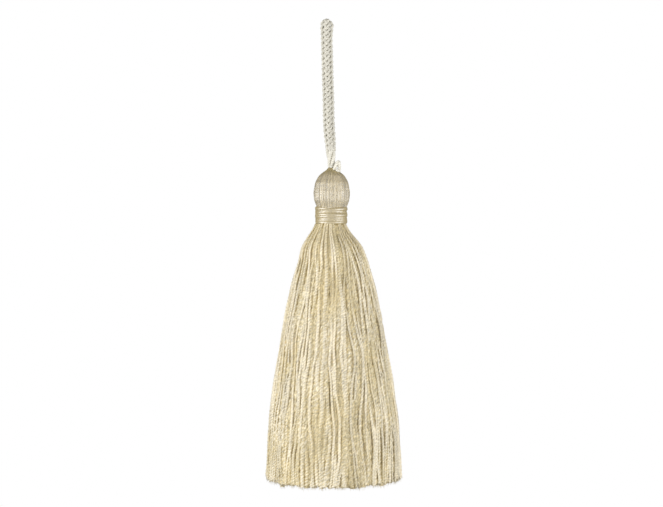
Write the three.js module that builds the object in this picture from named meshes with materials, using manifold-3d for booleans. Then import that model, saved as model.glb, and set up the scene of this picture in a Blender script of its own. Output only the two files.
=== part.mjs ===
// Silk tassel: a bundle of yarn folded over a cord, bound at the neck and left to hang as a skirt.
// Millimetres, +Z up. The origin is the top of the cord's end knot, where the tassel is held.
import * as THREE from "three";
import { mergeVertices } from "three/addons/utils/BufferGeometryUtils.js";
import Module from "manifold-3d";

const wasm = await Module();
wasm.setup();

// Driving dimensions
const CORD_DROP = 61; // origin to the top of the head
const BODY_X = 2.1; // the cord leans, so the body hangs this far to the right of the origin
const HEAD_HEIGHT = 14.2;
const NECK_RADIUS = 5.3; // the yarn squeezed inside the binding
const BINDING_HEIGHT = 6.8;
const BINDING_RADIUS = 6.35;
const BINDING_TURNS = 8;
const BINDING_SEGMENTS = 32;
const TURN_ROUNDING = 0.2; // how far the grooves between the turns lie in
const SKIRT_LENGTH = 102.4; // binding to the ends of the outer strands
const GAP = 0.3; // clear space between two pieces

// The head: how far below its top, and the radius of the yarn there.
const HEAD_PROFILE = [
  { drop: 0, radius: 1.8 },
  { drop: 0.5, radius: 3.5 },
  { drop: 2, radius: 5.3 },
  { drop: 4.6, radius: 6.7 },
  { drop: 8.8, radius: 7.4 },
  { drop: 11.8, radius: 7.05 },
  { drop: 13.6, radius: 6.2 },
];

// The root, where the strands are still one mass: how far below the binding, and the radius.
const ROOT_PROFILE = [
  { drop: 0.8, radius: 6.4 },
  { drop: 3, radius: 7.8 },
  { drop: 5, radius: 9.2 },
];

// The skirt: how far below the binding, the radius that the outer strands reach there,
// and how much of their sideways sway they have picked up.
const SKIRT_PROFILE = [
  { drop: 3.4, radius: 7.8, sway: 0 },
  { drop: 9, radius: 12.5, sway: 0.3 },
  { drop: 24, radius: 16.8, sway: 1 },
  { drop: 48, radius: 21.6, sway: 0.4 },
  { drop: 76, radius: 25.7, sway: 0.9 },
  { drop: SKIRT_LENGTH, radius: 27.4, sway: 0.6 },
];

// The strands stand in rings, as many to the millimetre in each ring.
const STRAND_RINGS = 6;
const OUTER_STRANDS = 66;
const STRAND_SHARE = 0.68; // of the pitch from strand to strand, so that neighbours stand apart
const CENTRE_ENDS_LOWER = 3.2; // equal yarns end lower where they hang straight
const END_UNEVENNESS = { most: 0.9, perStrand: 7.3, perRing: 2.9 }; // a sine that no two neighbours share

// Waves round the skirt that gather loose yarn in locks: how far a strand is turned aside, in radians,
// and how far it stands out, as a share of its distance from the axis.
const LOCK_WAVES = [
  { locks: 7, start: 0.6, turn: 0.014, swell: 0.015 },
  { locks: 16, start: 2.1, turn: 0.008, swell: 0.02 },
];

// Ribs of laid yarn on the head and the root
const RIBS = 30;
const RIB_DEPTH = 0.28;

// The cord's route, foot first: its middle, its width, and how far its knitted stitches stand out.
const CORD_ROUTE = [
  { x: 2.1, y: 0, drop: 60.7, width: 2.6, relief: 0 },
  { x: 2.05, y: 0, drop: 58.4, width: 2.7, relief: 0 },
  { x: 1.9, y: 0.05, drop: 55.4, width: 2.8, relief: 0 },
  { x: 1.6, y: 0.1, drop: 52.6, width: 3.6, relief: 0.1 },
  { x: 1.25, y: 0.15, drop: 49, width: 4.2, relief: 0.22 },
  { x: 0.9, y: 0.15, drop: 45, width: 4.3, relief: 0.22 },
  { x: 0.7, y: 0.1, drop: 41, width: 4.3, relief: 0.22 },
  { x: 0.6, y: 0, drop: 37, width: 4.3, relief: 0.22 },
  { x: 0.55, y: -0.1, drop: 33, width: 4.3, relief: 0.22 },
  { x: 0.45, y: -0.15, drop: 29, width: 4.3, relief: 0.22 },
  { x: 0.3, y: -0.15, drop: 25, width: 4.3, relief: 0.22 },
  { x: 0.2, y: -0.1, drop: 21, width: 4.2, relief: 0.22 },
  { x: 0.1, y: -0.05, drop: 17, width: 4.2, relief: 0.22 },
  { x: 0, y: 0, drop: 13, width: 4.2, relief: 0.22 },
  { x: -0.1, y: 0, drop: 9, width: 4.2, relief: 0.22 },
  { x: -0.1, y: 0, drop: 5.8, width: 4.5, relief: 0.2 },
  { x: -0.05, y: 0, drop: 3.4, width: 5.2, relief: 0.2 },
  { x: 0, y: 0, drop: 1.3, width: 4.6, relief: 0.1 },
  { x: 0, y: 0, drop: 0.3, width: 2.9, relief: 0 },
  { x: 0, y: 0, drop: 0, width: 1.2, relief: 0 },
];
const CORD_SIDES = 12;
const WALES = 4; // columns of stitches round the cord, one of them facing the front
const STITCH_PITCH = 2.1; // from one stitch to the next along a column
const STEPS_PER_STITCH = 3;
const STITCH_SLANT = 1.1; // rise of a stitch's arm for each millimetre away from the column's middle

// The loop of thread beside the cord's foot, where the cord was fastened: its middle, from the body's axis.
const TAIL_ROUTE = [
  { x: 1.95, y: -0.9, drop: 60.7 },
  { x: 2.1, y: -1, drop: 59.2 },
  { x: 2.45, y: -1.05, drop: 57.9 },
  { x: 3, y: -1.05, drop: 57.4 },
  { x: 3.5, y: -1, drop: 58 },
  { x: 3.65, y: -0.95, drop: 59.4 },
  { x: 3.55, y: -0.9, drop: 60.95 },
];
const TAIL_RADIUS = 0.55;
const TAIL_SIDES = 8;
const TAIL_STEPS = 16;

const TAU = 2 * Math.PI;
const BINDING_TOP = -(CORD_DROP + HEAD_HEIGHT + GAP);
const BINDING_BOTTOM = BINDING_TOP - BINDING_HEIGHT;

// Solids and geometries

function solidOf(geometry) {
  const bare = geometry.clone();
  bare.deleteAttribute("normal");
  bare.deleteAttribute("uv");
  const merged = mergeVertices(bare);
  const vertProperties = merged.getAttribute("position").array;
  const triVerts = new Uint32Array(merged.index.array);
  return new wasm.Manifold(new wasm.Mesh({ numProp: 3, vertProperties, triVerts }));
}

function geometryOf(solid) {
  const { vertProperties, triVerts } = solid.getMesh();
  const geometry = new THREE.BufferGeometry();
  geometry.setAttribute("position", new THREE.BufferAttribute(vertProperties, 3));
  geometry.setIndex(new THREE.BufferAttribute(triVerts, 1));
  geometry.computeVertexNormals();
  return geometry;
}

// A closed skin through sections that all have the same number of points, with flat ends.
function loft(sections) {
  const sides = sections[0].length;
  const last = (sections.length - 1) * sides;
  const faces = [];
  for (let row = 0; row < last; row += sides) {
    for (let side = 0; side < sides; side++) {
      const near = row + side;
      const next = row + ((side + 1) % sides);
      faces.push(near, next, near + sides, next, next + sides, near + sides);
    }
  }
  for (let side = 1; side + 1 < sides; side++) {
    faces.push(0, side + 1, side);
    faces.push(last, last + side, last + side + 1);
  }
  const geometry = new THREE.BufferGeometry().setFromPoints(sections.flat());
  geometry.setIndex(faces);
  return geometry;
}

// A body turned about the Z axis from a profile of radius and height.
function turned(profile, segments) {
  const points = profile.map(({ radius, z }) => new THREE.Vector2(radius, z));
  return new THREE.LatheGeometry(points, segments).rotateX(Math.PI / 2);
}

// The bundle: head, neck and root as one turned core, with the strands growing out of it

function coreProfile() {
  const headTop = -CORD_DROP;
  const head = HEAD_PROFILE.map(({ drop, radius }) => ({ radius, z: headTop - drop }));
  const root = ROOT_PROFILE.map(({ drop, radius }) => ({ radius, z: BINDING_BOTTOM - drop }));
  const neck = [
    { radius: NECK_RADIUS, z: headTop - HEAD_HEIGHT },
    { radius: NECK_RADIUS, z: BINDING_BOTTOM - GAP },
  ];
  const underside = root[root.length - 1].z;
  return [{ radius: 0, z: underside }, ...[...head, ...neck, ...root].reverse(), { radius: 0, z: headTop }];
}

// Every second line of points is drawn in, so that the yarn lies in ribs.
function ribbedCore() {
  const core = turned(coreProfile(), 2 * RIBS);
  const position = core.getAttribute("position");
  const point = new THREE.Vector3();
  for (let i = 0; i < position.count; i++) {
    point.fromBufferAttribute(position, i);
    const radius = Math.hypot(point.x, point.y);
    const line = Math.round((Math.atan2(point.y, point.x) / TAU) * 2 * RIBS);
    const grooved = radius > NECK_RADIUS && line % 2 !== 0;
    const scale = grooved ? 1 - RIB_DEPTH / radius : 1;
    position.setXYZ(i, point.x * scale, point.y * scale, point.z);
  }
  return core;
}

// One column of the lock waves, summed at an angle round the skirt.
function lockWave(column, angle) {
  const waves = LOCK_WAVES.map((wave) => wave[column] * Math.sin(wave.locks * angle + wave.start));
  return waves.reduce((sum, height) => sum + height, 0);
}

// A triangle of the strand's width in a level plane, one corner facing out.
function strandSection(reach, angle, width, z) {
  const corner = width / Math.sqrt(3);
  const middle = new THREE.Vector3(reach * Math.cos(angle), reach * Math.sin(angle), z);
  return [0, 1, 2].map((k) => {
    const facing = angle - (k * TAU) / 3;
    return new THREE.Vector3(Math.cos(facing), Math.sin(facing), 0).multiplyScalar(corner).add(middle);
  });
}

function strand(ring, index, count) {
  const share = (ring + 0.5) / (STRAND_RINGS - 0.5);
  const angle = ((index + 0.5 * (ring % 2)) / count) * TAU;
  const { most, perStrand, perRing } = END_UNEVENNESS;
  const uneven = most * Math.sin(perStrand * index + perRing * ring);
  const lower = CENTRE_ENDS_LOWER * (1 - share * share) + uneven;
  const sections = SKIRT_PROFILE.map(({ drop, radius, sway }) => {
    const width = (STRAND_SHARE * TAU * radius) / OUTER_STRANDS;
    const reach = share * (radius - width / 2) * (1 + sway * lockWave("swell", angle));
    const z = BINDING_BOTTOM - drop * (1 + lower / SKIRT_LENGTH);
    return strandSection(reach, angle + sway * lockWave("turn", angle), width, z);
  });
  return loft(sections);
}

function strands() {
  const made = [];
  for (let ring = 0; ring < STRAND_RINGS; ring++) {
    const count = Math.round((OUTER_STRANDS * (ring + 0.5)) / (STRAND_RINGS - 0.5));
    for (let index = 0; index < count; index++) {
      made.push(strand(ring, index, count));
    }
  }
  return made;
}

function yarnBundle() {
  const core = solidOf(ribbedCore());
  return geometryOf(wasm.Manifold.union([core, ...strands().map(solidOf)]));
}

// The binding: one thread wound round the neck, each turn a rounded ridge

function neckBinding() {
  const turn = BINDING_HEIGHT / BINDING_TURNS;
  const inner = NECK_RADIUS + GAP;
  const groove = BINDING_RADIUS - TURN_ROUNDING;
  const profile = [{ radius: inner, z: BINDING_BOTTOM }];
  for (let n = 0; n < BINDING_TURNS; n++) {
    const z = BINDING_BOTTOM + n * turn;
    profile.push({ radius: groove, z }, { radius: BINDING_RADIUS, z: z + turn / 2 });
  }
  profile.push({ radius: groove, z: BINDING_TOP }, { radius: inner, z: BINDING_TOP }, profile[0]);
  return turned(profile, BINDING_SEGMENTS);
}

// The hanging cord: a narrow knitted tube, drawn together at its top and thinned where it enters the head

// A column of the cord's table at a share of its route, between the rows on either side.
function cordSize(column, share) {
  const place = share * (CORD_ROUTE.length - 1);
  const row = Math.min(Math.floor(place), CORD_ROUTE.length - 2);
  return THREE.MathUtils.lerp(CORD_ROUTE[row][column], CORD_ROUTE[row + 1][column], place - row);
}

// The two arms of a stitch stand out in a V from the middle of its column: 1 on an arm, -1 between two.
function stitchWave(angle, radius, along) {
  const wale = TAU / WALES;
  const across = Math.abs(angle - wale * Math.round(angle / wale)) * radius;
  return Math.cos((TAU * (along - STITCH_SLANT * across)) / STITCH_PITCH);
}

function cordSection(curve, share, along) {
  const middle = curve.getPoint(share);
  const radius = cordSize("width", share) / 2;
  const relief = cordSize("relief", share);
  const section = [];
  for (let side = 0; side < CORD_SIDES; side++) {
    const angle = (side / CORD_SIDES) * TAU;
    const reach = radius + relief * stitchWave(angle, radius, along);
    section.push(new THREE.Vector3(reach * Math.cos(angle), reach * Math.sin(angle), 0).add(middle));
  }
  return section;
}

function hangingCord() {
  const points = CORD_ROUTE.map(({ x, y, drop }) => new THREE.Vector3(x, y, -drop));
  const curve = new THREE.CatmullRomCurve3(points);
  const length = curve.getLength();
  const steps = Math.round((length / STITCH_PITCH) * STEPS_PER_STITCH);
  const sections = [];
  for (let step = 0; step <= steps; step++) {
    const share = curve.getUtoTmapping(step / steps);
    sections.push(cordSection(curve, share, (step / steps) * length));
  }
  return loft(sections);
}

// The loop of thread beside the cord's foot
function cordTail() {
  const points = TAIL_ROUTE.map(({ x, y, drop }) => new THREE.Vector3(x + BODY_X, y, -drop));
  const corners = [];
  for (let side = 0; side < TAIL_SIDES; side++) {
    const angle = (side / TAIL_SIDES) * TAU;
    corners.push(new THREE.Vector2(Math.cos(angle), Math.sin(angle)).multiplyScalar(TAIL_RADIUS));
  }
  const extrudePath = new THREE.CatmullRomCurve3(points);
  return new THREE.ExtrudeGeometry(new THREE.Shape(corners), { steps: TAIL_STEPS, extrudePath });
}

// Silk finishes and the assembled tassel

const skirtSilk = new THREE.MeshStandardMaterial({ color: 0xdfcfa9, roughness: 0.5, metalness: 0 });
const bindingSilk = new THREE.MeshStandardMaterial({ color: 0xd9c59c, roughness: 0.4, metalness: 0 });
const cordSilk = new THREE.MeshStandardMaterial({ color: 0xe0d7c0, roughness: 0.55, metalness: 0 });

function piece(name, geometry, material) {
  const mesh = new THREE.Mesh(geometry, material);
  mesh.name = name;
  return mesh;
}

const body = new THREE.Group();
body.position.x = BODY_X;
body.add(piece("yarn_bundle", yarnBundle(), skirtSilk));
body.add(piece("neck_binding", neckBinding(), bindingSilk));

const tassel = new THREE.Group();
tassel.add(body);
tassel.add(piece("hanging_cord", hangingCord(), cordSilk));
tassel.add(piece("cord_tail", cordTail(), cordSilk));

export default tassel;
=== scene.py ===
# %% [markdown]
# A silk tassel, thread by thread.
# A tassel is a hank of yarn folded over the end of a cord, bound tightly under the fold and trimmed level.
# Everything on it is thread, so one helper that sweeps a thread along a path makes the whole object,
# and the lesson is in the paths: knitted, wound, laid over a ball, and hanging in locks.
# The solids are loaded first, because every piece has to keep to their box.

# %% Load the solids, and a way to read their boxes
import math

import bmesh
import bpy
import numpy as np
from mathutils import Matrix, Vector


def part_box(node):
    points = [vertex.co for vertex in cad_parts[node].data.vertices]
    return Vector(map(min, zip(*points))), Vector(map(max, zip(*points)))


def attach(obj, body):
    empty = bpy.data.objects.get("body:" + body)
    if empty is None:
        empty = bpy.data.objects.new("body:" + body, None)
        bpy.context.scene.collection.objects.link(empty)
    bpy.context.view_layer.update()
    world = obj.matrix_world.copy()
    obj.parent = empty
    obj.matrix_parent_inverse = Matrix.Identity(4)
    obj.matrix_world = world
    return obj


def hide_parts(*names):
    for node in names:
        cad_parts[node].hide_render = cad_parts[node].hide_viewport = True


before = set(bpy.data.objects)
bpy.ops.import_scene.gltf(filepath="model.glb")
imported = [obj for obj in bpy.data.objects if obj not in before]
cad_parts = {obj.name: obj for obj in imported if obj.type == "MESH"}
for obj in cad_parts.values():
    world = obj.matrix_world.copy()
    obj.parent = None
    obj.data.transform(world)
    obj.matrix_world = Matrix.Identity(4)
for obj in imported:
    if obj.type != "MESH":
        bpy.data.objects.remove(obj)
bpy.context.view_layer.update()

MM = 0.001
TAU = 2 * math.pi
print("solids loaded:", sorted(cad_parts))

# %% [markdown]
# The solids give the places that everything else hangs on: the axis of the body, the top of the head
# and the two edges of the binding. They could be typed in again as numbers, but reading them here keeps
# the threads where the solids are.

# %% Places read from the solids
binding_low, binding_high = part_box("neck_binding")
bundle_low, bundle_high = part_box("yarn_bundle")
AXIS_X = (binding_low[0] + binding_high[0]) / 2
HEAD_TOP = bundle_high[2]
BINDING_TOP = binding_high[2]
BINDING_BOTTOM = binding_low[2]
print(f"head top {HEAD_TOP / MM:.1f} mm, binding {BINDING_TOP / MM:.1f} to {BINDING_BOTTOM / MM:.1f} mm")

# %% [markdown]
# The camera stands level, square to the tassel, and far off, as for a catalogue picture. One pixel of
# the picture is 0.4 mm at the tassel, and that fixes the lens once the distance is chosen.

# %% Camera
IMAGE_SIZE = (663, 507)
PIXEL = 0.4 * MM
AXIS_COLUMN = 331.7  # where the body's axis stands in the picture
CORD_TOP_ROW = 18.5  # where the cord's top stands in the picture
CAMERA_DISTANCE = 0.9

camera = bpy.data.objects.new("camera", bpy.data.cameras.new("camera"))
bpy.context.scene.collection.objects.link(camera)
bpy.context.scene.camera = camera
camera.data.lens = camera.data.sensor_width * CAMERA_DISTANCE / (IMAGE_SIZE[0] * PIXEL)
camera.location = (
    AXIS_X + (IMAGE_SIZE[0] / 2 - AXIS_COLUMN) * PIXEL,
    -CAMERA_DISTANCE,
    -(IMAGE_SIZE[1] / 2 - CORD_TOP_ROW) * PIXEL,
)
camera.rotation_euler = (math.pi / 2, 0, 0)
print(f"lens {camera.data.lens:.0f} mm at {CAMERA_DISTANCE} m")

# %% [markdown]
# Silk thread is plied: a few plies twist round each other with a soft shadow between them, and fine fibres
# run along each ply. The shadow in the grooves is partly the grooves' own shading and partly painted
# shadow in the colour; the fibres are a bump. Both follow the thread, so the finish reads the thread's own
# UV map: across is once round the thread, along is its length in centimetres. Two values come with the
# mesh: shade, a tone which differs from thread to thread, and a second value which grows with depth and is
# painted shade: it turns the silk darker and golden there, standing in for shadow between threads and for
# light thrown from thread to thread. All this is one node group, because the skirt, the head, the binding
# and the cord use it, each with its own silk.

# %% Small helpers for node trees
def put(tree, socket, value):
    if isinstance(value, bpy.types.NodeSocket):
        tree.links.new(value, socket)
    else:
        socket.default_value = value


def reckon(tree, operation, *values):
    node = tree.nodes.new("ShaderNodeMath")
    node.operation = operation
    for socket, value in zip(node.inputs, values):
        put(tree, socket, value)
    return node.outputs[0]


def blend_colours(tree, share, first, second, kind="MIX"):
    node = tree.nodes.new("ShaderNodeMix")
    node.data_type = "RGBA"
    node.blend_type = kind
    put(tree, node.inputs["Factor"], share)
    put(tree, node.inputs["A"], first)
    put(tree, node.inputs["B"], second)
    return node.outputs["Result"]


def noise(tree, place, scale, detail=2.0):
    node = tree.nodes.new("ShaderNodeTexNoise")
    put(tree, node.inputs["Vector"], place)
    put(tree, node.inputs["Scale"], scale)
    put(tree, node.inputs["Detail"], detail)
    return node.outputs["Fac"]


# %% Values of the plied silk
GROOVE_SHARPNESS = 2.0  # higher keeps the painted shadow nearer to the middle of a groove
THREADS_APART = 40.0  # moves each thread to a part of the noise that is its own
FIBRE_ROUND, FIBRE_SCALE = 2.5, 3.0  # fineness of the fibres round the thread, and their scale
FLECK_ROUND, FLECK_SCALE = 0.18, 11.5  # the same for short pale and dark flecks
FLECK_STRENGTH = 7.0
PATCH_SCALE = 90.0  # patches of about a centimetre, over all the threads
WARMTH_LOST = -0.3  # pale threads take on less of the deeper colour
WARMTH = 0.2  # and this much of it is everywhere
GROOVE_HEIGHT, FIBRE_HEIGHT = -0.7, 0.5

# %% Node group: plied silk
GROUP_INPUTS = {
    "Silk": "Color", "Painted Shade": "Color", "Plies": "Float", "Depth": "Float", "Unevenness": "Float",
}
GROUP_OUTPUTS = {"Color": "Color", "Height": "Float"}


def plied_silk_group():
    tree = bpy.data.node_groups.new("plied_silk", "ShaderNodeTree")
    for way, sockets in (("INPUT", GROUP_INPUTS), ("OUTPUT", GROUP_OUTPUTS)):
        for name, kind in sockets.items():
            tree.interface.new_socket(name, in_out=way, socket_type="NodeSocket" + kind)
    given = tree.nodes.new("NodeGroupInput").outputs
    result = tree.nodes.new("NodeGroupOutput").inputs

    thread_map = tree.nodes.new("ShaderNodeUVMap")
    thread_map.uv_map = "Thread"
    split = tree.nodes.new("ShaderNodeSeparateXYZ")
    put(tree, split.inputs[0], thread_map.outputs[0])
    round_thread = reckon(tree, "MULTIPLY", split.outputs[0], TAU)
    # Painted shadow in the grooves between plies; the same mask also lowers the bump there.
    ply_wave = reckon(tree, "COSINE", reckon(tree, "MULTIPLY", round_thread, given["Plies"]))
    groove = reckon(tree, "MULTIPLY_ADD", ply_wave, -0.5, 0.5)
    hollow = reckon(tree, "POWER", groove, GROOVE_SHARPNESS)

    shade, painted_shade = (tree.nodes.new("ShaderNodeAttribute") for _ in range(2))
    shade.attribute_name = "shade"
    painted_shade.attribute_name = "painted_shade"
    own_place = reckon(tree, "MULTIPLY_ADD", shade.outputs["Fac"], THREADS_APART, split.outputs[1])

    def along_thread(fineness, scale):
        """Noise wrapped round the thread, and as much finer round it than along it."""
        place = tree.nodes.new("ShaderNodeCombineXYZ")
        for axis, way in ((0, "COSINE"), (1, "SINE")):
            across = reckon(tree, "MULTIPLY", reckon(tree, way, round_thread), fineness)
            put(tree, place.inputs[axis], across)
        put(tree, place.inputs[2], own_place)
        return noise(tree, place.outputs[0], scale)

    fibre = along_thread(FIBRE_ROUND, FIBRE_SCALE)
    fleck = along_thread(FLECK_ROUND, FLECK_SCALE)
    fleck = reckon(tree, "MULTIPLY_ADD", fleck, FLECK_STRENGTH, -FLECK_STRENGTH / 2)
    patch = noise(tree, tree.nodes.new("ShaderNodeTexCoord").outputs["Object"], PATCH_SCALE)
    mixed = reckon(tree, "ADD", reckon(tree, "ADD", shade.outputs["Fac"], fleck), patch)
    mixed = reckon(tree, "SUBTRACT", mixed, 1.0)
    lightness = reckon(tree, "MULTIPLY_ADD", mixed, given["Unevenness"], 1.0)
    grey = tree.nodes.new("ShaderNodeCombineColor")
    for socket in grey.inputs:
        put(tree, socket, lightness)

    # Share of the painted-shade colour: groove shadow and depth shade, both painted, plus a random tone.
    warm = reckon(tree, "MULTIPLY", reckon(tree, "MULTIPLY", shade.outputs["Fac"], WARMTH_LOST), patch)
    shaded = reckon(tree, "ADD", reckon(tree, "ADD", hollow, warm), WARMTH)
    share = reckon(tree, "MULTIPLY_ADD", shaded, given["Depth"], painted_shade.outputs["Fac"])
    painted_shade_tint = blend_colours(tree, share, given["Silk"], given["Painted Shade"])
    put(tree, result["Color"], blend_colours(tree, 1.0, painted_shade_tint, grey.outputs[0], "MULTIPLY"))
    fibre_height = reckon(tree, "MULTIPLY", fibre, FIBRE_HEIGHT)
    put(tree, result["Height"], reckon(tree, "MULTIPLY_ADD", hollow, GROOVE_HEIGHT, fibre_height))
    return tree


plied_silk = plied_silk_group()
print("node group:", plied_silk.name)


# %% Silk finishes
def silk(name, colour, painted_shade_colour, plies, depth, unevenness, fuzz, roughness, ior):
    material = bpy.data.materials.new(name)
    material.use_nodes = True
    tree = material.node_tree
    shader = tree.nodes["Principled BSDF"]
    spun = tree.nodes.new("ShaderNodeGroup")
    spun.node_tree = plied_silk
    values = ((*colour, 1), (*painted_shade_colour, 1), plies, depth, unevenness)
    for socket, value in zip(spun.inputs, values):
        socket.default_value = value
    bump = tree.nodes.new("ShaderNodeBump")
    bump.inputs["Distance"].default_value = fuzz * MM
    put(tree, bump.inputs["Height"], spun.outputs["Height"])
    put(tree, shader.inputs["Base Color"], spun.outputs["Color"])
    put(tree, shader.inputs["Normal"], bump.outputs["Normal"])
    shader.inputs["Roughness"].default_value = roughness
    shader.inputs["IOR"].default_value = ior
    return material


# Each finish: the silk's colour, then its painted-shade colour for ply grooves and deep places.
skirt_silk = silk(
    "skirt_silk", (0.81, 0.73, 0.556), (0.62, 0.515, 0.285),
    plies=2, depth=0.45, unevenness=0.35, fuzz=0.06, roughness=0.32, ior=1.9)
head_silk = silk(
    "head_silk", (0.45, 0.368, 0.213), (0.33, 0.245, 0.05),
    plies=3, depth=0.4, unevenness=0.5, fuzz=0.04, roughness=0.28, ior=3.05)
binding_silk = silk(
    "binding_silk", (0.445, 0.345, 0.14), (0.35, 0.26, 0.085),
    plies=4, depth=0.3, unevenness=0.2, fuzz=0.02, roughness=0.34, ior=3.2)
cord_silk = silk(
    "cord_silk", (0.81, 0.78, 0.685), (0.66, 0.63, 0.52),
    plies=3, depth=0.4, unevenness=0.15, fuzz=0.05, roughness=0.45, ior=1.55)
print("finishes:", [material.name for material in bpy.data.materials])

# %% [markdown]
# A thread is a tube with a lobed section, one lobe for each ply, that turns as it goes along its path.
# A curve with a round bevel would be smooth and plain. Hundreds of threads as separate objects would be
# slow. So all the threads of a piece are swept together as arrays, and become one mesh. Each thread keeps
# a strip of its own on a second map, laid side by side, for a picture of the finish.

# %% Sweep threads along paths
def carried_directions(paths):
    """Two directions square to each path, carried along it without turning about it."""
    along = np.gradient(paths, axis=1)
    along /= np.linalg.norm(along, axis=2, keepdims=True)
    side = np.empty_like(along)
    side[:, 0] = np.cross(along[:, 0], np.eye(3)[np.abs(along[:, 0]).argmin(axis=1)])
    for point in range(paths.shape[1]):
        before = side[:, max(point - 1, 0)]
        leaning = (before * along[:, point]).sum(axis=1, keepdims=True)
        side[:, point] = before - leaning * along[:, point]
        side[:, point] /= np.linalg.norm(side[:, point], axis=1, keepdims=True)
    return side, np.cross(along, side)


LAY_SPREAD = 0.22  # share by which one thread's twist is slacker or tighter than the next one's


def sweep(paths, thickness, plies=3, groove=0.3, lay=4 * MM, sides=6, seed=0):
    """Skins of threads with several plies: points round each section, for each point of each path."""
    draw = np.random.default_rng(seed)
    paths = np.asarray(paths, float)
    side, up = carried_directions(paths)
    run = np.zeros(paths.shape[:2])
    run[:, 1:] = np.linalg.norm(np.diff(paths, axis=1), axis=2).cumsum(axis=1)
    around = np.arange(sides) / sides
    start = draw.uniform(0, 1, (len(paths), 1, 1))
    own_lay = lay * draw.uniform(1 - LAY_SPREAD, 1 + LAY_SPREAD, (len(paths), 1, 1))
    turned = TAU * (around + run[:, :, None] / own_lay + start)
    lobes = 1 - groove * (0.5 - 0.5 * np.cos(TAU * plies * around))
    reach = 0.5 * np.broadcast_to(thickness, run.shape)[:, :, None] * lobes
    skin = paths[:, :, None, :] + (reach * np.cos(turned))[..., None] * side[:, :, None, :]
    skin += (reach * np.sin(turned))[..., None] * up[:, :, None, :]
    shade = draw.uniform(0, 1, len(paths))
    return {"skin": skin, "run": run, "shade": shade, "painted_shade": np.zeros(skin.shape[:3])}


# %% The faces of swept threads and their maps
CENTIMETRE = 0.01
CAP_BAND = 0.02  # share of each strip of the second map that is kept for a thread's two ends
CAP_PLACES = (0.25, 0.75)  # where in that band the two ends lie
CAP_HALF_WIDTH, CAP_HALF_HEIGHT = 0.45, 0.2  # of an end, as shares of its strip and of the band


def thread_faces(swept, first_point, first_strip, strips):
    """Quads of walls and ends, with the thread map and the strip map at their corners."""
    threads, points, sides, _ = swept["skin"].shape
    index = first_point + np.arange(threads * points * sides).reshape(threads, points, sides)
    ahead = np.roll(index, -1, axis=2)
    walls = np.stack([index[:, :-1], ahead[:, :-1], ahead[:, 1:], index[:, 1:]], axis=-1)
    across = (np.arange(sides)[:, None] + [0, 1, 1, 0]) / sides
    across = np.broadcast_to(across, walls.shape)
    near, far = swept["run"][:, :-1], swept["run"][:, 1:]
    length = np.stack([near, near, far, far], axis=-1)[:, :, None, :]
    length = np.broadcast_to(length, walls.shape)
    strip = first_strip + np.arange(threads)[:, None, None, None]
    longest = swept["run"].max()
    faces = [walls]
    thread_map = [np.stack([across, length / CENTIMETRE], axis=-1)]
    strip_map = [np.stack([(strip + across) / strips, length / longest * (1 - CAP_BAND)], axis=-1)]

    fan = np.array([(0, k, k + 1, k + 2) for k in range(1, sides - 2, 2)])
    for end, order, band in zip((0, -1), (fan[:, ::-1], fan), CAP_PLACES):
        angle = TAU * order / sides
        faces.append(index[:, end][:, order])
        place = np.stack([order / sides, np.zeros(order.shape)], axis=-1)
        place = np.broadcast_to(place, (threads, *place.shape))
        thread_map.append(place + [0, swept["run"][0, end] / CENTIMETRE])
        column = (strip[:, 0] + 0.5 + CAP_HALF_WIDTH * np.cos(angle)) / strips
        row = 1 - CAP_BAND * (1 - band - CAP_HALF_HEIGHT * np.sin(angle))
        strip_map.append(np.stack([column, np.broadcast_to(row, column.shape)], axis=-1))
    faces = np.concatenate([part.reshape(-1, 4) for part in faces])
    thread_map = np.concatenate([part.reshape(-1, 2) for part in thread_map])
    strip_map = np.concatenate([part.reshape(-1, 2) for part in strip_map])
    return faces, thread_map, strip_map, walls.size // 4


# %% Join swept threads in one mesh
def add_piece(name, mesh, material):
    mesh.materials.append(material)
    piece = bpy.data.objects.new(name, mesh)
    bpy.context.scene.collection.objects.link(piece)
    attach(piece, "root")
    return piece


def thread_piece(name, bundles, material):
    """One object from one or more swept bundles of threads."""
    strips = sum(len(swept["skin"]) for swept in bundles)
    first_point = first_strip = 0
    points, faces, thread_maps, strip_maps, rounded, shades, painted_shades = [], [], [], [], [], [], []
    for swept in bundles:
        made, thread_map, strip_map, walls = thread_faces(swept, first_point, first_strip, strips)
        points.append(swept["skin"].reshape(-1, 3))
        faces.append(made)
        thread_maps.append(thread_map)
        strip_maps.append(strip_map)
        rounded.append(np.arange(len(made)) < walls)
        shades.append(np.repeat(swept["shade"], swept["skin"][0].size // 3))
        painted_shades.append(swept["painted_shade"].ravel())
        first_point += len(points[-1])
        first_strip += len(swept["skin"])
    mesh = bpy.data.meshes.new(name)
    mesh.from_pydata(np.concatenate(points), [], np.concatenate(faces))
    mesh.polygons.foreach_set("use_smooth", np.concatenate(rounded))
    for map_name, corners in (("Thread", thread_maps), ("OFBake", strip_maps)):
        layer = mesh.uv_layers.new(name=map_name, do_init=False)
        layer.uv.foreach_set("vector", np.concatenate(corners).astype(np.float32).ravel())
    for attribute, values in (("shade", shades), ("painted_shade", painted_shades)):
        layer = mesh.attributes.new(attribute, "FLOAT", "POINT")
        layer.data.foreach_set("value", np.concatenate(values))
    print(f"{name}: {strips} threads, {2 * len(mesh.polygons)} triangles")
    return add_piece(name, mesh, material)


# %% [markdown]
# The hanging cord is a narrow knitted tube, four stitches round, with a column of V stitches facing the
# front. A knitted thread is one long line: at each stitch it climbs, turns over, and comes down again, so
# three sines give it. Its climb leans outwards, which makes the V, and it stands out where it passes
# before the row above and lies in where it passes behind. The tube widens and closes at its top end, and
# a plain core inside keeps light from showing through it.

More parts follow.
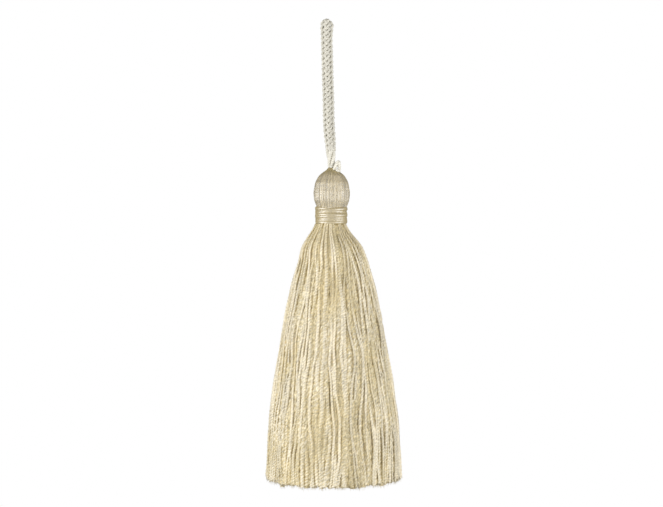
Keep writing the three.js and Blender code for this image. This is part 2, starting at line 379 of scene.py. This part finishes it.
# %% The cord's route, foot first, in millimetres as on the solid
CORD_ROUTE = np.array([
    (2.1, 0, -60.7), (2.05, 0, -58.4), (1.9, 0.05, -55.4), (1.6, 0.1, -52.6), (1.25, 0.15, -49),
    (0.9, 0.15, -45), (0.7, 0.1, -41), (0.6, 0, -37), (0.55, -0.1, -33), (0.45, -0.15, -29),
    (0.3, -0.15, -25), (0.2, -0.1, -21), (0.1, -0.05, -17), (0, 0, -13), (-0.1, 0, -9),
    (-0.1, 0, -5.8), (-0.05, 0, -3.4), (0, 0, -1.3), (0, 0, -0.3), (0, 0, 0),
]) * MM


def cord_middle(z):
    """Places on the cord's route at these heights."""
    heights = CORD_ROUTE[:, 2]
    return np.stack([np.interp(z, heights, CORD_ROUTE[:, axis]) for axis in range(2)] + [z], axis=-1)


# %% The knitted tube
WALES = 4
FRONT_WALE = TAU / 8  # turns a column of stitches to the front
STITCH_PITCH = 2.05 * MM
CORD_THREAD = 1.25 * MM
CORD_GROOVE = 0.25
CORD_LAY = 3 * MM
STITCH_RISE = 0.62 * STITCH_PITCH  # half the height of a stitch, so that rows reach over each other
STITCH_LEAN = 0.46  # radians that the climb leans aside
STITCH_CLOSING = 0.1  # radians by which the two legs of a stitch are drawn together
STITCH_DEPTH = 0.24 * MM
KNIT_ASIDE = 0.25 * MM  # the tube hangs this far to the right of the route
POINTS_PER_STITCH = 20
TUBE_PROFILE = np.array([  # height, and radius of the knitted thread's middle
    (-53.6, 1.1), (-52.2, 1.3), (-50, 1.5), (-47, 1.65), (-9, 1.65), (-5.8, 1.75),
    (-3.4, 2.0), (-2.0, 1.9), (-1.2, 1.5), (-0.7, 0.8), (-0.6, 0.15),
]) * MM

profile_run = np.concatenate([[0], np.linalg.norm(np.diff(TUBE_PROFILE, axis=0), axis=1).cumsum()])
rounds = (profile_run[-1] - STITCH_RISE) / STITCH_PITCH
turn = np.linspace(0, TAU * WALES * rounds, int(POINTS_PER_STITCH * WALES * rounds))
climbed = STITCH_PITCH * turn / (TAU * WALES) - STITCH_RISE * np.cos(turn)
knit_height = np.interp(climbed, profile_run, TUBE_PROFILE[:, 0])
knit_reach = np.interp(climbed, profile_run, TUBE_PROFILE[:, 1]) - STITCH_DEPTH * np.cos(2 * turn)
knit_angle = turn / WALES + FRONT_WALE + STITCH_LEAN * np.sin(2 * turn) + STITCH_CLOSING * np.sin(turn)
knitted = cord_middle(knit_height)
knitted[:, 0] += KNIT_ASIDE + knit_reach * np.cos(knit_angle)
knitted[:, 1] += knit_reach * np.sin(knit_angle)
knit_skin = sweep(knitted[None], CORD_THREAD, groove=CORD_GROOVE, lay=CORD_LAY, seed=1)
print(f"knitted tube: {rounds:.1f} rounds of {WALES} stitches")

# %% The core inside the tube
CORD_CORE = 3.0 * MM
CORD_CORE_ENDS = (-53, -2)  # heights in millimetres
CORD_POINTS = 60
core_path = cord_middle(np.linspace(*CORD_CORE_ENDS, CORD_POINTS) * MM) + [KNIT_ASIDE, 0, 0]
core_skin = sweep(core_path[None], CORD_CORE, groove=0.15, lay=6 * MM, seed=4)
print(f"core: {CORD_CORE / MM:.1f} mm thick")

# %% [markdown]
# Where the knitting stops, four bare threads twist round a fifth down to the hole in the head. They
# are part of the same cord, so they are joined in its mesh. A small loop of the fastening thread stands
# beside them, and both its ends go down into the hole. Its few places are listed and smoothed by an
# average along the line.

# %% The cord's foot
FOOT_THREAD = 1.75 * MM
FOOT_ENDS = (-62.5, -51.0)  # heights in millimetres
FOOT_PLACES = (0.1, 0.35, 0.6, 0.85)  # of the four threads, as shares of a turn
FOOT_SPREAD = 1.15 * MM  # from the cord's middle to a foot thread's middle
FOOT_TURNS = 0.5
FOOT_NARROWS = -55.0 * MM  # height below which the threads draw together
FOOT_NARROWED = 0.65  # share of their spread that is left at the hole
FOOT_THINNED = 0.75  # share of their thickness that is left there

climb = np.linspace(*FOOT_ENDS, CORD_POINTS) * MM
foot_middle = cord_middle(np.maximum(climb, CORD_ROUTE[0, 2]))
foot_middle[:, 2] = climb
foot_paths = [foot_middle]
drawn_in = np.clip((FOOT_NARROWS - climb) / (FOOT_NARROWS - HEAD_TOP), 0, 1)
foot_spread = FOOT_SPREAD * (1 - (1 - FOOT_NARROWED) * drawn_in)
foot_thickness = FOOT_THREAD * (1 - (1 - FOOT_THINNED) * drawn_in)
for place in FOOT_PLACES:
    twist = TAU * (FOOT_TURNS * (climb - climb[0]) / np.ptp(climb) + place)
    offset = foot_spread[:, None] * np.stack([np.cos(twist), np.sin(twist), 0 * twist], axis=-1)
    foot_paths.append(foot_middle + offset)
foot_skin = sweep(foot_paths, foot_thickness, groove=CORD_GROOVE, lay=CORD_LAY, seed=2)

hanging_cord = thread_piece("hanging_cord_knit", [knit_skin, core_skin, foot_skin], cord_silk)
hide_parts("hanging_cord")

# %% The fastening loop
LOOP_THREAD = 1.6 * MM
LOOP_ROUTE = np.array([
    (0.7, -1.0, -61.3), (1.0, -1.5, -60.2), (1.4, -1.7, -59.3), (1.9, -1.7, -58.4), (2.3, -1.6, -57.5),
    (2.65, -1.5, -57.2), (2.9, -1.4, -57.7), (3.0, -1.3, -58.7), (3.05, -1.3, -59.9), (3.0, -1.6, -60.9),
    (2.9, -1.9, -61.3), (2.6, -2.1, -61.0), (2.2, -2.0, -60.8), (1.8, -1.6, -60.9), (1.5, -1.0, -61.5),
]) * MM + [AXIS_X, 0, 0]
LOOP_POINTS = 60
LOOP_SOFTENING = 7  # points in the average that rounds the loop

loop_places = range(len(LOOP_ROUTE))
loop_stage = np.linspace(0, len(LOOP_ROUTE) - 1, LOOP_POINTS)
loop_path = np.stack([np.interp(loop_stage, loop_places, values) for values in LOOP_ROUTE.T], axis=-1)
loop_average = np.ones(LOOP_SOFTENING) / LOOP_SOFTENING
between_ends = slice(LOOP_SOFTENING // 2, -(LOOP_SOFTENING // 2))
for axis in range(3):
    loop_path[between_ends, axis] = np.convolve(loop_path[:, axis], loop_average, mode="valid")
loop_skin = sweep(loop_path[None], LOOP_THREAD, lay=CORD_LAY, seed=3)
fastening_loop = thread_piece("fastening_loop", [loop_skin], cord_silk)
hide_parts("cord_tail")

# %% [markdown]
# The head is the fold of the hank: yarn that comes out of the top hole, stands up a little round the
# cord's foot as a collar, runs over a ball and dives under the binding. A spun core closes the ball, so
# that no light shows between the yarns. The yarns could be a bump on that core, but they show at the
# outline, so they lie on it side by side, thinner where they crowd together round the hole.

# %% The head's outline
HEAD_PROFILE = np.array([  # below the head's top, and radius
    (-1.2, 1.5), (-0.6, 1.75), (0.4, 3.2), (2.0, 5.2), (4.6, 6.7), (8.8, 7.4),
    (11.8, 7.05), (13.6, 6.35), (14.6, 5.9), (17, 5.6),
]) * MM
HEAD_STEPS = 72
FINER = 8  # the profile is rounded at this many times as many steps


def head_place(steps):
    """Radius and height along the head, from its hole to under the binding, evenly spaced."""
    drop, radius = HEAD_PROFILE.T
    run = np.concatenate([[0], np.hypot(np.diff(drop), np.diff(radius)).cumsum()])
    fine = np.linspace(0, run[-1], FINER * steps)
    average = np.ones(2 * steps // 3 | 1)
    average /= average.size
    pad = average.size // 2
    curves = []
    for values in (np.interp(fine, run, radius), np.interp(fine, run, drop)):
        before = 2 * values[0] - values[pad:0:-1]
        after = 2 * values[-1] - values[-2:-pad - 2:-1]
        padded = np.concatenate([before, values, after])
        curves.append(np.convolve(padded, average, mode="valid")[::FINER])
    return curves[0], HEAD_TOP - curves[1]


head_radius, head_height = head_place(HEAD_STEPS)
print(f"head: {2 * head_radius.max() / MM:.1f} mm wide")

# %% The core under the head's yarns
CORE_INSET = 0.4 * MM
CORE_LEAST_RADIUS = 0.4 * MM
CORE_LOWER = 0.3 * MM
CORE_SEGMENTS = 48
SAME_PLACE = 0.01 * MM


def spun_core(name, radius, height, material):
    shape = bmesh.new()
    outline = [(AXIS_X, height[0]), *zip(AXIS_X + radius, height), (AXIS_X, height[-1])]
    profile = [shape.verts.new((x, 0, z)) for x, z in outline]
    edges = [shape.edges.new(pair) for pair in zip(profile, profile[1:])]
    bmesh.ops.spin(
        shape, geom=profile + edges, cent=(AXIS_X, 0, 0), axis=(0, 0, 1),
        angle=TAU, steps=CORE_SEGMENTS, use_merge=True, use_duplicate=False,
    )
    bmesh.ops.remove_doubles(shape, verts=shape.verts, dist=SAME_PLACE)
    bmesh.ops.recalc_face_normals(shape, faces=shape.faces)
    mesh = bpy.data.meshes.new(name)
    shape.to_mesh(mesh)
    shape.free()
    mesh.shade_smooth()
    print(f"{name}: {len(mesh.polygons)} faces")
    return add_piece(name, mesh, material)


core_radius = np.maximum(head_radius - CORE_INSET, CORE_LEAST_RADIUS)
head_core = spun_core("head_core", core_radius, head_height - CORE_LOWER, head_silk)
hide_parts("yarn_bundle")

# %% The head's yarns
HEAD_YARNS = 96
HEAD_YARN = 0.95 * MM
HEAD_UNEVENNESS = 0.15  # share of the pitch by which a yarn may lie aside
HEAD_SLANT = 0.06  # radians by which a yarn may slant
HEAD_LIFT = 0.03  # millimetres by which it may stand up or lie low
FULL_WIDTH_AT = 5.5 * MM  # radius at which a head yarn has room to be its full width
LEAST_WIDTH = 0.25  # share of its width that is left at the hole
PAINTED_HOLE_SHADE_REACH = 5.0 * MM  # painted shade: the silk's colour deepens this near the hole, where the yarns crowd into it

head_draw = np.random.default_rng(11)
jitter = head_draw.uniform(-HEAD_UNEVENNESS, HEAD_UNEVENNESS, HEAD_YARNS)
start_angle = TAU * (np.arange(HEAD_YARNS) + jitter) / HEAD_YARNS
slant = head_draw.uniform(-HEAD_SLANT, HEAD_SLANT, HEAD_YARNS)
head_angle = start_angle[:, None] + slant[:, None] * np.linspace(0, 1, len(head_radius))
head_width = HEAD_YARN * np.clip(head_radius / FULL_WIDTH_AT, LEAST_WIDTH, 1)
lift = head_draw.uniform(-HEAD_LIFT, HEAD_LIFT, (HEAD_YARNS, 1)) * MM
head_reach = head_radius - head_width / 2 + lift
head_paths = np.stack([
    AXIS_X + head_reach * np.cos(head_angle),
    head_reach * np.sin(head_angle),
    np.broadcast_to(head_height, head_angle.shape),
], axis=-1)
head_skin = sweep(head_paths, head_width, groove=0.22, lay=2.4 * MM, seed=12)
# Painted shade on the head's yarns near the hole.
head_skin["painted_shade"] += np.clip(1 - head_skin["run"] / PAINTED_HOLE_SHADE_REACH, 0, 1)[..., None]
head_yarns = thread_piece("head_yarns", [head_skin], head_silk)
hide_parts("yarn_bundle")

# %% [markdown]
# The binding is one thread of silk wound round the neck, turn beside turn, with its two ends tucked
# under. A stack of rings would look too regular. So it is a helix whose radius drops at both ends, and
# which wobbles a little, as a hand winds. The thread is thicker than the turns are apart, so each turn
# lies half over the one before and no gap shows.

# %% The neck binding
BINDING_TURNS = 8
BINDING_THREAD = (BINDING_TOP - BINDING_BOTTOM) / BINDING_TURNS
BINDING_THICKNESS = 2.6 * BINDING_THREAD
BINDING_DRAWN_IN = 0.2 * MM  # from the solid's face to the winding's
BINDING_RADIUS = (binding_high[0] - binding_low[0]) / 2 - BINDING_DRAWN_IN
BINDING_ASIDE = -0.2 * MM  # the winding sits this far to the left of the axis
THREAD_INSIDE = 0.9 * BINDING_THREAD  # from the winding's face to the thread's middle
TUCKED_IN = 0.7 * BINDING_THREAD  # how far the two ends dive under
TUCK_TURNS = 0.3  # and over what part of a turn
BINDING_START = 2  # radians, where the winding starts
WOBBLES = ((0.2 * MM, 1.7, 0), (0.18 * MM, 0.61, 1))  # size, waves in a turn, and start
WOBBLE_OUT = 0.4  # share of the wobble that also goes in and out
POINTS_PER_TURN = 56

wound_turns = BINDING_TURNS - 0.5
winding = np.linspace(0, wound_turns, int(POINTS_PER_TURN * wound_turns))
shown = np.clip(np.minimum(winding, winding[-1] - winding) / TUCK_TURNS, 0, 1)
wobble = sum(size * np.sin(waves * TAU * winding + start) for size, waves, start in WOBBLES)
binding_reach = BINDING_RADIUS - THREAD_INSIDE - TUCKED_IN * (1 - shown) + WOBBLE_OUT * wobble
binding_rise = BINDING_THREAD * (winding + 0.5) * BINDING_TURNS / (BINDING_TURNS + 0.5)
binding_path = np.stack([
    AXIS_X + BINDING_ASIDE + binding_reach * np.cos(TAU * winding + BINDING_START),
    binding_reach * np.sin(TAU * winding + BINDING_START),
    BINDING_BOTTOM + binding_rise + wobble,
], axis=-1)
binding_skin = sweep(
    binding_path[None], BINDING_THICKNESS, plies=4, groove=0.06, lay=5 * MM, sides=8, seed=21)
neck_binding = thread_piece("neck_binding_thread", [binding_skin], binding_silk)
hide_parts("neck_binding")

# %% [markdown]
# The skirt is the hank's free ends. Yarn that leaves a tight binding springs out to a shoulder and then
# falls. It never hangs evenly: neighbours cling together in locks, locks drift sideways, and each yarn
# wanders a little of its own. A physical simulation of hundreds of touching yarns would be slow and hard
# to steer, so each of those habits is one line of arithmetic, drawn with a seed.

# %% The skirt's form
SKIRT_PROFILE = np.array([  # below the binding, and radius of the outer yarns
    (-2, 5.5), (0, 6.3), (1.5, 7.0), (3, 7.9), (5, 9.4), (7, 11.0), (9, 12.4), (11, 13.1), (15, 14.2),
    (24, 16.8), (36, 19.4), (48, 21.5), (62, 23.9), (76, 25.7), (90, 26.9), (103, 27.5), (110, 27.6),
]) * MM
PROFILE_ROUNDING = (-1.5, -0.75, 0, 0.75, 1.5)  # millimetres between which the profile is averaged
SKIRT_LEAN = np.array([  # below the binding, and lean to the right
    (0, -0.5), (4, -0.45), (9, 0.05), (15, 0.55), (22, 0.55), (30, 0.5), (60, 0.7), (110, 0.7),
]) * MM
SKIRT_LENGTH = 100.6 * MM


def skirt_radius(drop):
    radius = sum(np.interp(drop + step * MM, *SKIRT_PROFILE.T) for step in PROFILE_ROUNDING)
    return radius / len(PROFILE_ROUNDING)


print(f"skirt: {2 * skirt_radius(SKIRT_LENGTH) / MM:.1f} mm wide at its hem")

# %% Hanging in locks
LOCK_SIZES = (2, 6)  # fewest and most yarns that cling together
PLACE_UNEVEN = 0.35  # share of the pitch by which a yarn may hang aside
CENTRE_ENDS_LOWER = 0.5 * MM
FRONT_ENDS_LOWER = 1.8 * MM
ENDS_UNEVEN = 0.4 * MM
ROOT_DROP = -1.5 * MM  # yarns start this far up under the binding
skirt_draw = np.random.default_rng(31)


def locks_of(count, fewest, most):
    """A lock number for each yarn in turn, with uneven numbers of yarns to a lock."""
    sizes = skirt_draw.integers(fewest, most + 1, count)
    return np.repeat(np.arange(count), sizes)[:count]


def hung(count, share, points):
    """Lock, angle and drop of each yarn of a layer at this share of the skirt's radius."""
    lock = locks_of(count, *LOCK_SIZES)
    angle = TAU * (np.arange(count) + skirt_draw.uniform(-PLACE_UNEVEN, PLACE_UNEVEN, count)) / count
    ends = SKIRT_LENGTH + CENTRE_ENDS_LOWER * (1 - share * share)
    ends = ends + skirt_draw.normal(0, ENDS_UNEVEN, count) - FRONT_ENDS_LOWER * np.sin(angle)
    drop = ROOT_DROP + np.linspace(0, 1, points) * (ends - ROOT_DROP)[:, None]
    return lock, angle, drop


# %% Drifting
CALM_TO = 25 * MM  # drifts grow to their full size over this drop
LEAST_DRIFT = 0.1  # and start with this share of it
DRIFT_PARTS = (0.65, 0.35)  # a drift is two waves that share its size like this
WAVE_SPREAD = (0.6, 1.4)  # least and most length of a wave, as shares of the usual one


def drift(who, drop, sway, wave):
    """A drift along the drop, the same for all rows with the same number in who."""
    total = np.zeros(drop.shape)
    for part in DRIFT_PARTS:
        length = wave * skirt_draw.uniform(*WAVE_SPREAD, who.max() + 1)[who][:, None]
        start = skirt_draw.uniform(0, TAU, who.max() + 1)[who][:, None]
        total += part * np.sin(TAU * drop / length + start)
    return sway * total * np.clip(drop / CALM_TO, LEAST_DRIFT, 1)


# %% [markdown]
# Here and there the outer yarns part, and a slit opens to the golden yarn beneath. A slit is long and
# pointed at both ends. Cutting it out would leave yarns with holes, so each parting pushes the yarns on
# its two sides away, most at its middle and less with distance.

# %% Partings between locks
GOLDEN = (math.sqrt(5) - 1) / 2  # steps of this share of a turn spread things evenly, with no pattern
PARTINGS = 100
PARTING = 0.95 * MM  # how far the widest parting pushes the yarns beside its middle
PARTING_REACH = 1.8 * MM  # over this distance from a parting its push fades
PARTING_DROPS = (12, 98)  # millimetres below the binding between which partings have their middle
PARTING_HALF_LENGTHS = (5, 13)  # in millimetres
PARTING_STRENGTHS = (0.2, 1)

parting_draw = np.random.default_rng(33)
parting_places = np.stack([
    TAU * (np.arange(PARTINGS) * GOLDEN % 1),
    MM * parting_draw.uniform(*PARTING_DROPS, PARTINGS),
    MM * parting_draw.uniform(*PARTING_HALF_LENGTHS, PARTINGS),
    parting_draw.uniform(*PARTING_STRENGTHS, PARTINGS),
], axis=-1)
print(f"partings: {PARTINGS}, up to {2 * parting_places[:, 2].max() / MM:.0f} mm long")


def parted(angle, drop, radius):
    """Push along the surface, for yarns at these angles, away from every parting."""
    push = np.zeros(drop.shape)
    for place, middle, half_length, strength in parting_places:
        aside = radius * ((angle - place + math.pi) % TAU - math.pi)[:, None]
        fade = np.exp(-np.abs(aside) / PARTING_REACH - ((drop - middle) / half_length) ** 2)
        push += strength * np.sign(aside) * fade
    return push


# %% [markdown]
# Near the binding there is no room for all the outer yarns side by side. Some lie on ridges, and the rest
# sink into the valleys between them and come up lower down, where the skirt is wider. Each yarn has a rank,
# and it surfaces where the room has reached its rank. Deep silk gets painted shade, darker and golden, from
# its own depth, which is worked out here for every point, because a shader has no way to know it. A lock
# that lies back gets more painted shade.

# %% Widths of the yarns, and their depth
YARN = 1.7 * MM
OUTER_WIDTHS = (0.6, 1.28)  # least and most width of an outer yarn, as shares of the usual one
UNDER_WIDTHS = (0.95, 1.15)  # the same for the yarns beneath
ROOT_WIDTH = 0.75  # share of its width that a yarn has where the binding squeezes it
BLOOM = 0.1  # share by which a yarn loosens towards its end
NECK = 6 * MM  # radius at which the binding squeezes the yarns
FREE_OVER = 9 * MM  # further out by this much, a yarn has its full width
CROWDED_OVER = 14 * MM  # and further out by this much, yarns no longer crowd
SUNK = 2.4 * MM  # how far the yarns in the valleys lie under those on the ridges
RISEN = 0.9  # share of that depth which they have made up at their ends
RIDGES = 0.84  # share of the surface that yarns on ridges take up
RISE = 0.14  # share of the ranks over which a yarn climbs from a valley to a ridge
UNDER_ALL, UNDER_CROWDED = 1.2, 11  # how much of its depth a lower layer has everywhere, and where crowded
PAINTED_SHADE_FROM = 0.25 * MM  # depth at which painted shade starts to deepen the silk's colour
PAINTED_SHADE_OVER = 0.55 * MM  # and the depth over which that painted shade deepens
ROOT_PAINTED_SHADE = 0.6  # share of that painted shade which the squeezed, crowded roots have all through
LOCK_PAINTED_SHADE = 0.45  # by how much that painted shade differs from lock to lock
print(f"yarns: {YARN / MM:.1f} mm, up to {SUNK / MM:.1f} mm deep in the valleys")

# %% Drifts of locks and yarns, each with its size and its usual wave
LOCK_SWAY = (1.0 * MM, 60 * MM)  # a lock drifts sideways
YARN_SWAY = (0.6 * MM, 45 * MM)  # a yarn does so of its own
YARN_KINK = (0.2 * MM, 16 * MM)  # and has small kinks
YARN_SWELL = (0.15 * MM, 9 * MM)  # and thick and thin places
LOCK_STAND = (1.0, 60 * MM)  # a lock stands out or lies back, by this share of the next value
LOCK_STANDS_OUT = 0.25 * MM
YARN_STAND = (0.25 * MM, 30 * MM)
RANK_SWAY = (0.25, 36 * MM)  # a yarn on a ridge may sink again lower down
RANK_UNEVEN = 0.3
SKIRT_GROOVE = 0.34


# %% One layer of yarns
def skirt_layer(
    count, share, points, lay, seed,
    under=0.0, plump=1.0, widths=UNDER_WIDTHS, valleys=0.0, parting=0.0, painted_shade_tint=0.0,
):
    """One layer of hanging yarns, swept, with painted shade by depth."""
    each = np.arange(count)
    lock, angle, drop = hung(count, share, points)
    radius = skirt_radius(drop)
    room = np.clip((radius - NECK) / FREE_OVER, 0, 1)
    crowding = 1 - np.clip((radius - NECK) / CROWDED_OVER, 0, 1)
    width = plump * YARN * (ROOT_WIDTH + (1 - ROOT_WIDTH) * room + BLOOM * drop / SKIRT_LENGTH)
    width = width * skirt_draw.uniform(*widths, (count, 1))
    sideways = drift(lock, drop, *LOCK_SWAY) + drift(each, drop, *YARN_SWAY)
    sideways += drift(each, drop, *YARN_KINK) + parting * parted(angle, drop, radius)
    width = width + drift(each, drop, *YARN_SWELL)

    room_for = plump * RIDGES * TAU * share * radius / (count * width)
    rank = ((each * GOLDEN + skirt_draw.uniform(0, RANK_UNEVEN, count)) % 1)[:, None]
    rank = rank + drift(each, drop, *RANK_SWAY)
    sunk = valleys * (1 - RISEN * drop / SKIRT_LENGTH) * np.clip((rank - room_for) / RISE + 0.5, 0, 1)
    lock_stands = drift(lock, drop, *LOCK_STAND)
    outwards = LOCK_STANDS_OUT * lock_stands + drift(each, drop, *YARN_STAND)
    beneath = under * (UNDER_ALL + UNDER_CROWDED * crowding)
    reach = share * (radius - width / 2) - beneath - sunk + outwards
    turned = angle[:, None] + sideways / radius
    lean = AXIS_X + np.interp(drop, *SKIRT_LEAN.T)
    places = (lean + reach * np.cos(turned), reach * np.sin(turned), BINDING_BOTTOM - drop)
    swept = sweep(np.stack(places, axis=-1), width, plies=2, groove=SKIRT_GROOVE, lay=lay, seed=seed)

    swept["shade"] = (swept["shade"] + skirt_draw.uniform(0, 1, count)[lock]) / 2
    # Painted shade grows with depth, on crowded roots and with a layer's extra share; less where a lock
    # stands out.
    from_axis = np.hypot(swept["skin"][..., 0] - lean[..., None], swept["skin"][..., 1])
    painted_depth_shade = (radius[..., None] - from_axis - PAINTED_SHADE_FROM) / PAINTED_SHADE_OVER
    painted_depth_shade = painted_depth_shade + ROOT_PAINTED_SHADE * crowding[..., None] + painted_shade_tint
    swept["painted_shade"] = np.clip(np.clip(painted_depth_shade, 0, 1) - LOCK_PAINTED_SHADE * lock_stands[..., None], 0, 1)
    return swept


# %% [markdown]
# Seven layers fill the skirt. The outer yarns have the most points and vary most in width. They are two
# pieces, front and back, to keep each mesh small. The second layer lies close beneath and is what shows
# golden in the slits, with an extra share of painted shade. Those further in only close the view, from
# below too, so they have few points.

# %% The skirt, outer yarns first
OUTER_YARNS = 124
PLUMP = 1.3  # the hidden yarns are this much thicker, so that fewer of them fill the skirt
INNER_LAYERS = ((80, 0.88), (56, 0.72), (36, 0.48), (16, 0.22))  # yarns, and share of the radius


def skirt_piece(name, bundles):
    piece = thread_piece(name, bundles, skirt_silk)
    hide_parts("yarn_bundle")


outer = skirt_layer(
    count=OUTER_YARNS, share=1.0, points=260, lay=2.6 * MM, seed=41,
    widths=OUTER_WIDTHS, valleys=SUNK, parting=PARTING)
outer_halves = {
    "skirt_outer_back": slice(0, OUTER_YARNS // 2),
    "skirt_outer_front": slice(OUTER_YARNS // 2, None),
}
for name, half in outer_halves.items():
    skirt_piece(name, [{key: values[half] for key, values in outer.items()}])
# The second layer gets an extra share of painted shade.
second = skirt_layer(
    count=120, share=0.9935, points=130, lay=5 * MM, seed=42,
    under=0.3 * MM, plump=PLUMP, painted_shade_tint=0.45)
skirt_piece("skirt_second_yarns", [second])
third = skirt_layer(
    count=110, share=0.972, points=80, lay=6 * MM, seed=43,
    under=0.035 * MM, plump=PLUMP)
skirt_piece("skirt_inner_yarns", [third] + [
    skirt_layer(count, share, points=30, lay=6 * MM, seed=44 + n, plump=PLUMP)
    for n, (count, share) in enumerate(INNER_LAYERS)
])

# %% [markdown]
# Cut yarn frays: its fibres come loose at the end and spread a little, so the hem has a soft edge and no
# row of round stubs shows. Hair particles would make fibres too, but they have no mesh of their own until
# they are converted, so each fibre is one more thin thread, swept as the rest are.

# %% Frayed ends
FIBRES = 12  # at the end of each yarn
FIBRE = 0.14 * MM
FIBRE_TAPER = 0.5  # share of its thickness that a fibre loses
FIBRE_PLACES = (0.2, 0.95)  # from the yarn's middle, as shares of the way to its skin
FRAY_ROOT = 0.8 * MM  # length of a fibre that is still inside its yarn
FRAY_LENGTH = 1.1 * MM
MOSTLY_SHORT = 1.5  # higher makes more of the fibres short
FRAY_SPREAD = 0.35  # sideways for each length along, of a fibre that goes far
FRAY_USUAL = 0.5  # share of that which is usual
FRAY_OPENING = 0.25  # outwards for each length along, at the yarn's skin
FRAY_POINTS = np.array([0.0, 0.4, 0.75, 1.0])


def frayed(swept, seed):
    """Fine fibres that come out of the ends of these yarns."""
    draw = np.random.default_rng(seed)
    yarns = len(swept["skin"])
    last, before = (swept["skin"][:, n].mean(axis=1) for n in (-1, -2))
    heading = (last - before) / np.linalg.norm(last - before, axis=1, keepdims=True)
    corner = draw.integers(0, swept["skin"].shape[2], (yarns, FIBRES))
    outwards = swept["skin"][np.arange(yarns)[:, None], -1, corner] - last[:, None]
    outwards = outwards * draw.uniform(*FIBRE_PLACES, (yarns, FIBRES, 1))
    length = FRAY_ROOT + FRAY_LENGTH * draw.uniform(0, 1, (yarns, FIBRES, 1)) ** MOSTLY_SHORT
    aside = FRAY_SPREAD * draw.normal(0, FRAY_USUAL, (yarns, FIBRES, 3))
    aside = aside + FRAY_OPENING * outwards / (0.5 * YARN)
    start = last[:, None] + outwards - FRAY_ROOT * heading[:, None]
    share = FRAY_POINTS[:, None]
    paths = start[:, :, None] + (length * heading[:, None])[:, :, None] * share
    paths = paths + (length * aside)[:, :, None] * share ** 2
    thickness = FIBRE * (1 - FIBRE_TAPER * FRAY_POINTS)
    paths = paths.reshape(-1, len(FRAY_POINTS), 3)
    fibres = sweep(paths, thickness, groove=0, lay=SKIRT_LENGTH, sides=4, seed=seed)
    fibres["shade"] = np.repeat(swept["shade"], FIBRES)
    return fibres


skirt_piece("skirt_frayed_ends", [frayed(outer, 51), frayed(second, 52)])

# %% [markdown]
# The picture is a catalogue cut-out: a white ground and two broad soft lights, one on either side at the
# tassel's own height. They give the binding its two bright flanks and the ball its bright belt. The
# world is white to the camera and dimmer to the threads, a little brighter from the front, so that it
# fills the hollows between pale yarns and still leaves the lights their shape.

# %% Lights
LIGHT_ANGLE = math.radians(64)  # aside from the camera's line
LIGHT_AWAY = 0.75
LIGHT_HEIGHT = -0.1
LIGHT_TARGET = np.array([AXIS_X, 0, -0.11])
LIGHT_SIZE = (0.8, 0.55)


def softbox(name, place, power):
    lamp = bpy.data.lights.new(name, "AREA")
    lamp.shape = "RECTANGLE"
    lamp.size, lamp.size_y = LIGHT_SIZE
    lamp.energy = power
    box = bpy.data.objects.new(name, lamp)
    box.location = place
    x, y, z = LIGHT_TARGET - np.array(place)
    box.rotation_euler = (math.atan2(math.hypot(x, y), -z), 0, math.atan2(-x, y))
    bpy.context.scene.collection.objects.link(box)
    print(f"{name}: {power} W")


for name, side, power in (("left_softbox", -1, 3.65), ("right_softbox", 1, 2.78)):
    aside, nearer = LIGHT_AWAY * math.sin(LIGHT_ANGLE), LIGHT_AWAY * math.cos(LIGHT_ANGLE)
    softbox(name, (side * aside, -nearer, LIGHT_HEIGHT), power)

# %% World
FILL = 0.59  # what the threads feel from the sides
FILL_FROM_BEHIND = -0.3  # change of it towards straight behind
FILL_FROM_ABOVE = -0.08  # change of it towards straight above

world = bpy.data.worlds.new("white_studio")
bpy.context.scene.world = world
world.use_nodes = True
tree = world.node_tree
tree.nodes.clear()
seen, felt = (tree.nodes.new("ShaderNodeBackground") for _ in range(2))
for background in (seen, felt):
    background.inputs["Color"].default_value = (1, 1, 1, 1)
seen.inputs["Strength"].default_value = 1.0
way = tree.nodes.new("ShaderNodeSeparateXYZ")
put(tree, way.inputs[0], tree.nodes.new("ShaderNodeTexCoord").outputs["Generated"])
level_fill = reckon(tree, "MULTIPLY_ADD", way.outputs[1], FILL_FROM_BEHIND, FILL)
fill = reckon(tree, "MULTIPLY_ADD", way.outputs[2], FILL_FROM_ABOVE, level_fill)
put(tree, felt.inputs["Strength"], fill)
either = tree.nodes.new("ShaderNodeMixShader")
put(tree, either.inputs[0], tree.nodes.new("ShaderNodeLightPath").outputs["Is Camera Ray"])
put(tree, either.inputs[1], felt.outputs[0])
put(tree, either.inputs[2], seen.outputs[0])
put(tree, tree.nodes.new("ShaderNodeOutputWorld").inputs["Surface"], either.outputs[0])
bpy.context.scene.view_settings.view_transform = "Standard"
print("world:", world.name)

# %% [markdown]
# The tassel hangs free, so the floor is a plain pale disc well below it. It is out of the picture, and
# throws some light up into the hem. It belongs to the stage and not to the tassel.

# %% Floor
FLOOR_DROP = 0.075
FLOOR_RADIUS = 0.3
floor_shape = bmesh.new()
bmesh.ops.create_circle(floor_shape, cap_ends=True, segments=96, radius=FLOOR_RADIUS)
floor_place = (AXIS_X, 0, bundle_low[2] - FLOOR_DROP)
bmesh.ops.translate(floor_shape, verts=floor_shape.verts, vec=floor_place)
floor_mesh = bpy.data.meshes.new("floor")
floor_shape.to_mesh(floor_mesh)
floor_shape.free()
floor_finish = bpy.data.materials.new("floor_white")
floor_finish.use_nodes = True
floor_shader = floor_finish.node_tree.nodes["Principled BSDF"]
floor_shader.inputs["Base Color"].default_value = (0.85, 0.85, 0.84, 1)
floor_shader.inputs["Roughness"].default_value = 0.9
floor_mesh.materials.append(floor_finish)
floor = bpy.data.objects.new("floor", floor_mesh)
bpy.context.scene.collection.objects.link(floor)
print(f"floor: {FLOOR_DROP / MM:.0f} mm under the hem")
